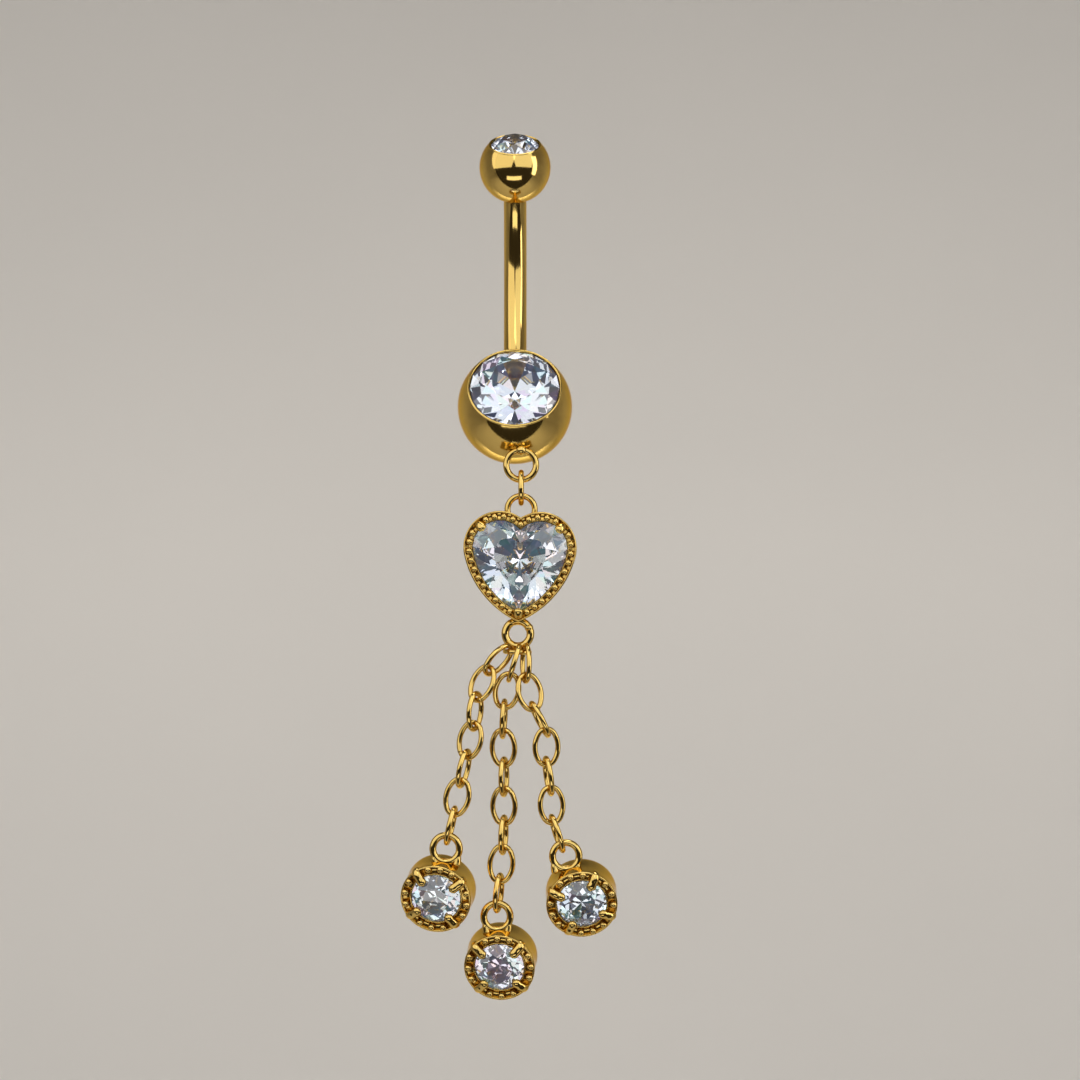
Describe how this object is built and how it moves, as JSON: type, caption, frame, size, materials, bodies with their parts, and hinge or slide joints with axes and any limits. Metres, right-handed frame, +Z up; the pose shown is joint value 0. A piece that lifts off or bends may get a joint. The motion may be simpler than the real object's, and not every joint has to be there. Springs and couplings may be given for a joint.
{
  "type": "navel ring with a heart pendant and chain tassel",
  "caption": "Curved barbell with a jewelled ball at each end; a heart pendant with a tassel of chains and round drops hangs from the lower ball.",
  "frame": {"origin": "middle of the curved bar, where it sits in the piercing", "axes": "+Z up along the chord of the bar, front toward -Y, +X to the right of someone who looks at the front"},
  "size_m": [0.0148, 0.0098, 0.0601],
  "materials": {
    "gold": "polished",
    "crystal": "faceted, clear"
  },
  "bodies": {
    "barbell": {"curved_bar": "gold", "lower_ball": "gold", "lower_stone": "crystal"},
    "top": {"top_ball": "gold", "top_stone": "crystal"},
    "connector": {"connector_link": "gold"},
    "pendant": {"heart_setting": "gold", "heart_stone": "crystal", "left_link_1": "gold", "left_link_2": "gold", "left_link_3": "gold", "left_link_4": "gold", "left_link_5": "gold", "left_link_6": "gold", "left_link_7": "gold", "middle_link_1": "gold", "middle_link_2": "gold", "middle_link_3": "gold", "middle_link_4": "gold", "middle_link_5": "gold", "middle_link_6": "gold", "middle_link_7": "gold", "middle_link_8": "gold", "middle_link_9": "gold", "right_link_1": "gold", "right_link_2": "gold", "right_link_3": "gold", "right_link_4": "gold", "right_link_5": "gold", "right_link_6": "gold", "right_link_7": "gold", "left_drop": "gold", "middle_drop": "gold", "right_drop": "gold", "left_drop_stone": "crystal", "middle_drop_stone": "crystal", "right_drop_stone": "crystal"}
  },
  "joints": [
    {"name": "top_ball_off", "type": "slide", "parent": "barbell", "child": "top", "axis": [0, -0.5, 0.866], "range_m": [0, 0.003]},
    {"name": "connector_swing", "type": "hinge", "parent": "barbell", "child": "connector", "pos_m": [0.00045, -0.00607, -0.01421], "axis": [1, 0, 0], "range_deg": [-75, 60]},
    {"name": "heart_swing", "type": "hinge", "parent": "connector", "child": "pendant", "pos_m": [0.00045, -0.00607, -0.01582], "axis": [0, 1, 0], "range_deg": [-30, 30]}
  ]
}
